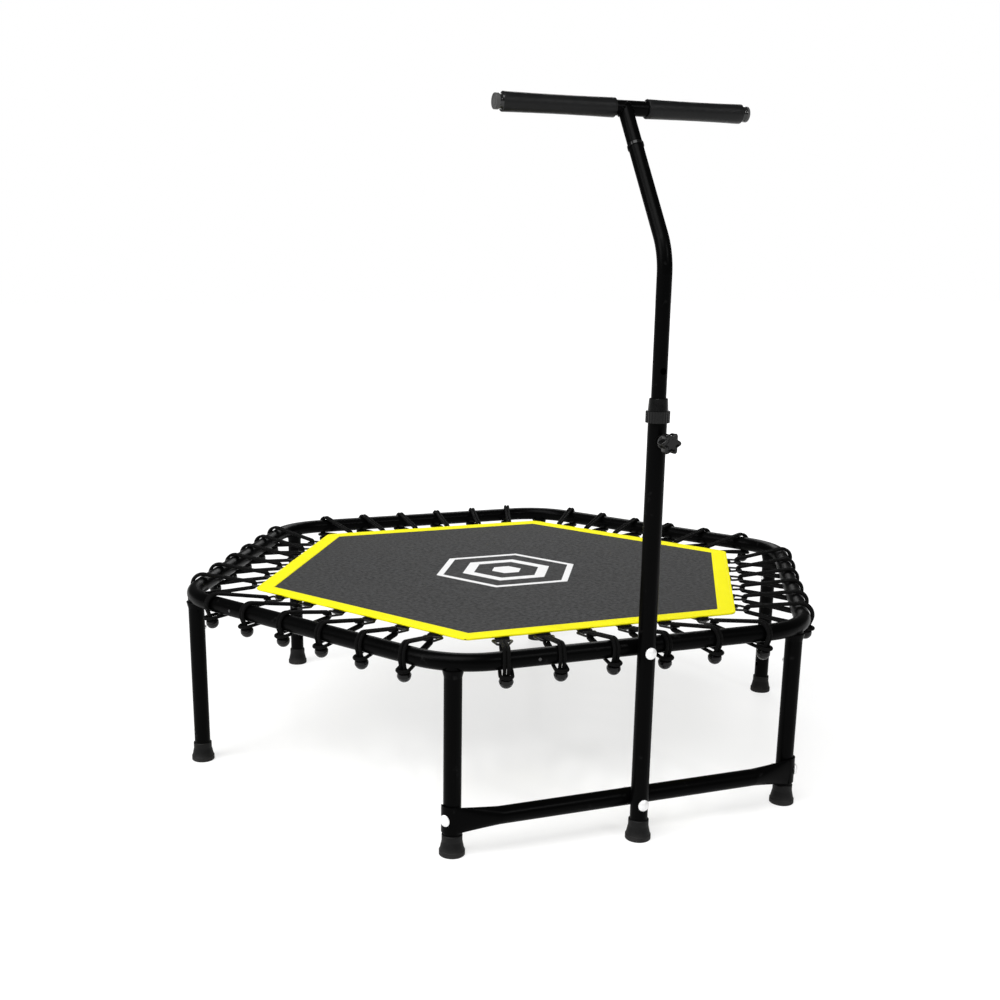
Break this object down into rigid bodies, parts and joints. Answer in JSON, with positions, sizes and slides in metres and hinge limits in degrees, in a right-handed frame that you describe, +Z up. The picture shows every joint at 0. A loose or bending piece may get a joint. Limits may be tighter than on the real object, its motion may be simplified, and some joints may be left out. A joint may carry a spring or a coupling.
{
  "type": "mini trampoline",
  "caption": "Hexagonal fitness trampoline: mat hung on elastic cord loops inside a legged tube rim, with a height-adjustable T handle at the front.",
  "frame": {"origin": "centre of the bounding box, on the floor under the seven feet; the hexagon's centre is 24.9 mm behind it", "axes": "+Z up, the handle stands at -Y, +X to the right of someone who stands in front of the handle and looks at the mat"},
  "size_m": [1.2326, 1.1629, 1.116],
  "materials": {
    "black_powder_coat": "satin black powder coat",
    "bright_zinc": "bright zinc plating",
    "dull_zinc": "blackened zinc plating",
    "black_rubber": "matt moulded rubber",
    "black_plastic": "satin moulded plastic",
    "gloss_black_plastic": "glossy moulded plastic",
    "black_ball_plastic": "semi-gloss moulded plastic",
    "elastic_cord": "braided cover over a rubber core",
    "grip_foam": "fine closed-cell foam",
    "plug_plastic": "moulded plastic with a grey end face",
    "mat_mesh": "charcoal woven jumping mesh",
    "yellow_binding": "lemon-yellow woven binding",
    "black_ring_wire": "black coated wire",
    "black_webbing": "woven polypropylene webbing"
  },
  "bodies": {
    "frame": {"rim_left": "black_powder_coat", "rim_front_left": "black_powder_coat", "rim_front_right": "black_powder_coat", "rim_right": "black_powder_coat", "rim_back_right": "black_powder_coat", "rim_back_left": "black_powder_coat", "rim_screws": "dull_zinc", "leg_left": "black_powder_coat", "foot_left": "black_rubber", "leg_front_left": "black_powder_coat", "foot_front_left": "black_rubber", "leg_front_right": "black_powder_coat", "foot_front_right": "black_rubber", "leg_right": "black_powder_coat", "foot_right": "black_rubber", "leg_back_right": "black_powder_coat", "foot_back_right": "black_rubber", "leg_back_left": "black_powder_coat", "foot_back_left": "black_rubber", "foot_post": "black_rubber", "crossbar": "black_powder_coat", "frame_bolts": "bright_zinc", "frame_nuts": "bright_zinc", "handle_post": "black_powder_coat", "guide_bush": "black_plastic", "cord_balls": "black_ball_plastic", "cords_front": "elastic_cord", "cords_front_right": "elastic_cord", "cords_back_right": "elastic_cord", "cords_back": "elastic_cord", "cords_back_left": "elastic_cord", "cords_front_left": "elastic_cord"},
    "handle": {"handle_tube": "black_powder_coat", "tube_bush": "black_plastic", "handle_bar": "black_powder_coat", "joint_ring": "black_plastic", "grip_left": "grip_foam", "grip_right": "grip_foam", "end_plug_left": "plug_plastic", "end_plug_right": "plug_plastic"},
    "knob": {"knob": "gloss_black_plastic", "knob_screw": "bright_zinc", "knob_washer": "bright_zinc"},
    "collar": {"collar_ring": "black_plastic"},
    "mat": {"mat": "mat_mesh", "mat_border": "yellow_binding", "mat_rings": "black_ring_wire", "webbing_tabs": "black_webbing"},
    "button_left": {"lock_button_left": "bright_zinc"},
    "button_front_left": {"lock_button_front_left": "bright_zinc"},
    "button_front_right": {"lock_button_front_right": "bright_zinc"},
    "button_right": {"lock_button_right": "bright_zinc"},
    "button_back_right": {"lock_button_back_right": "bright_zinc"},
    "button_back_left": {"lock_button_back_left": "bright_zinc"}
  },
  "joints": [
    {"name": "handle_slide", "type": "slide", "parent": "frame", "child": "handle", "axis": [0, 0, 1], "range_m": [-0.1, 0.1]},
    {"name": "knob_turn", "type": "hinge", "parent": "frame", "child": "knob", "pos_m": [0, -0.57369, 0.632], "axis": [0, -1, 0], "range_deg": [0, 720]},
    {"name": "collar_twist", "type": "hinge", "parent": "frame", "child": "collar", "pos_m": [0, -0.5357, 0.6665], "axis": [0, 0, 1], "range_deg": [0, 90]},
    {"name": "mat_bounce", "type": "slide", "parent": "frame", "child": "mat", "axis": [0, 0, 1], "range_m": [-0.12, 0], "stiffness_N_per_m": 18000, "deforming": ["cords_front", "cords_front_right", "cords_back_right", "cords_back", "cords_back_left", "cords_front_left"]},
    {"name": "button_press_left", "type": "slide", "parent": "frame", "child": "button_left", "axis": [-1, 0, 0], "range_m": [0, 0.003], "stiffness_N_per_m": 2500},
    {"name": "button_press_front_left", "type": "slide", "parent": "frame", "child": "button_front_left", "axis": [-0.5, -0.866, 0], "range_m": [0, 0.003], "stiffness_N_per_m": 2500},
    {"name": "button_press_front_right", "type": "slide", "parent": "frame", "child": "button_front_right", "axis": [0.5, -0.866, 0], "range_m": [0, 0.003], "stiffness_N_per_m": 2500},
    {"name": "button_press_right", "type": "slide", "parent": "frame", "child": "button_right", "axis": [1, 0, 0], "range_m": [0, 0.003], "stiffness_N_per_m": 2500},
    {"name": "button_press_back_right", "type": "slide", "parent": "frame", "child": "button_back_right", "axis": [0.5, 0.866, 0], "range_m": [0, 0.003], "stiffness_N_per_m": 2500},
    {"name": "button_press_back_left", "type": "slide", "parent": "frame", "child": "button_back_left", "axis": [-0.5, 0.866, 0], "range_m": [0, 0.003], "stiffness_N_per_m": 2500}
  ]
}
